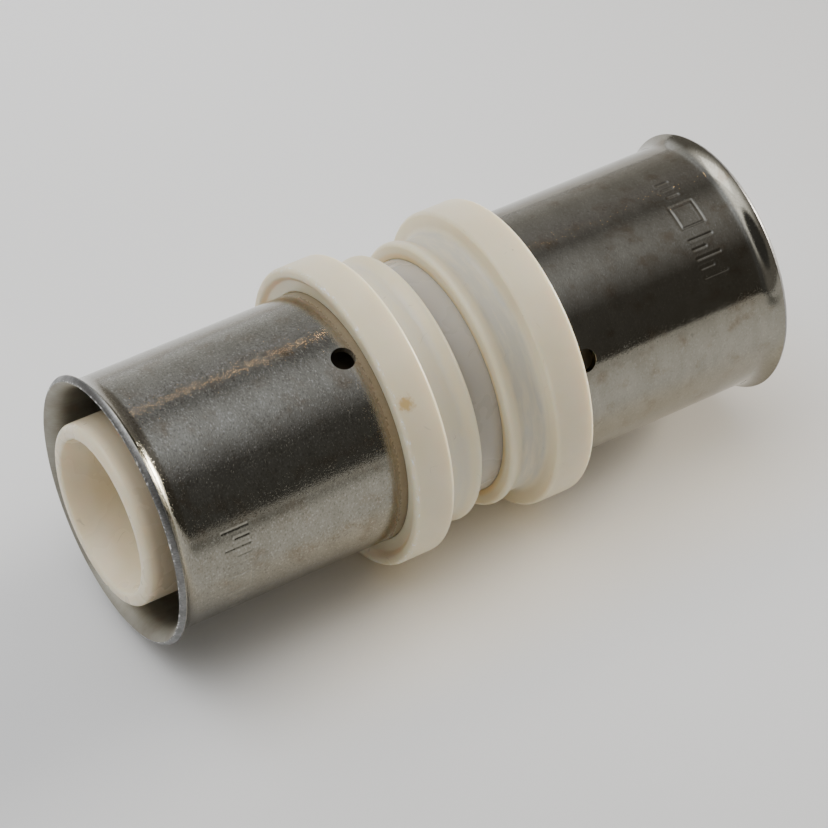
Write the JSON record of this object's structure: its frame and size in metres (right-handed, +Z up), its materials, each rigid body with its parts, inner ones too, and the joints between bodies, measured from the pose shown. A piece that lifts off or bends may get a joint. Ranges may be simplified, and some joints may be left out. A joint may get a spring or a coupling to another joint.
{
  "type": "press pipe coupling",
  "caption": "Straight press coupling for multilayer pipe: moulded insert body with O-rings, flared steel press sleeves and clipped stop rings.",
  "frame": {"origin": "centre of the coupling, on the axis of the waterway", "axes": "+X along the waterway towards the right end, +Z up, +Y away from the front"},
  "size_m": [0.0758, 0.0328, 0.0328],
  "materials": {
    "body_plastic": "satin ivory moulding",
    "ring_plastic": "slightly translucent cream moulding",
    "sleeve_steel": "satin drawn stainless sheet",
    "seal_rubber": "black EPDM"
  },
  "bodies": {
    "body": {"coupling_body": "body_plastic", "o_ring_left_outer": "seal_rubber", "o_ring_left_inner": "seal_rubber", "o_ring_right_outer": "seal_rubber", "o_ring_right_inner": "seal_rubber"},
    "ring_left": {"stop_ring_left": "ring_plastic"},
    "ring_right": {"stop_ring_right": "ring_plastic"},
    "sleeve_left": {"press_sleeve_left": "sleeve_steel"},
    "sleeve_right": {"press_sleeve_right": "sleeve_steel"}
  },
  "joints": [
    {"name": "ring_left_turn", "type": "hinge", "parent": "body", "child": "ring_left", "pos_m": [-0.0065, 0, 0], "axis": [1, 0, 0], "continuous": true},
    {"name": "sleeve_left_turn", "type": "hinge", "parent": "ring_left", "child": "sleeve_left", "pos_m": [-0.022, 0, 0], "axis": [1, 0, 0], "continuous": true},
    {"name": "ring_right_turn", "type": "hinge", "parent": "body", "child": "ring_right", "pos_m": [0.0065, 0, 0], "axis": [1, 0, 0], "continuous": true},
    {"name": "sleeve_right_turn", "type": "hinge", "parent": "ring_right", "child": "sleeve_right", "pos_m": [0.022, 0, 0], "axis": [1, 0, 0], "continuous": true}
  ]
}
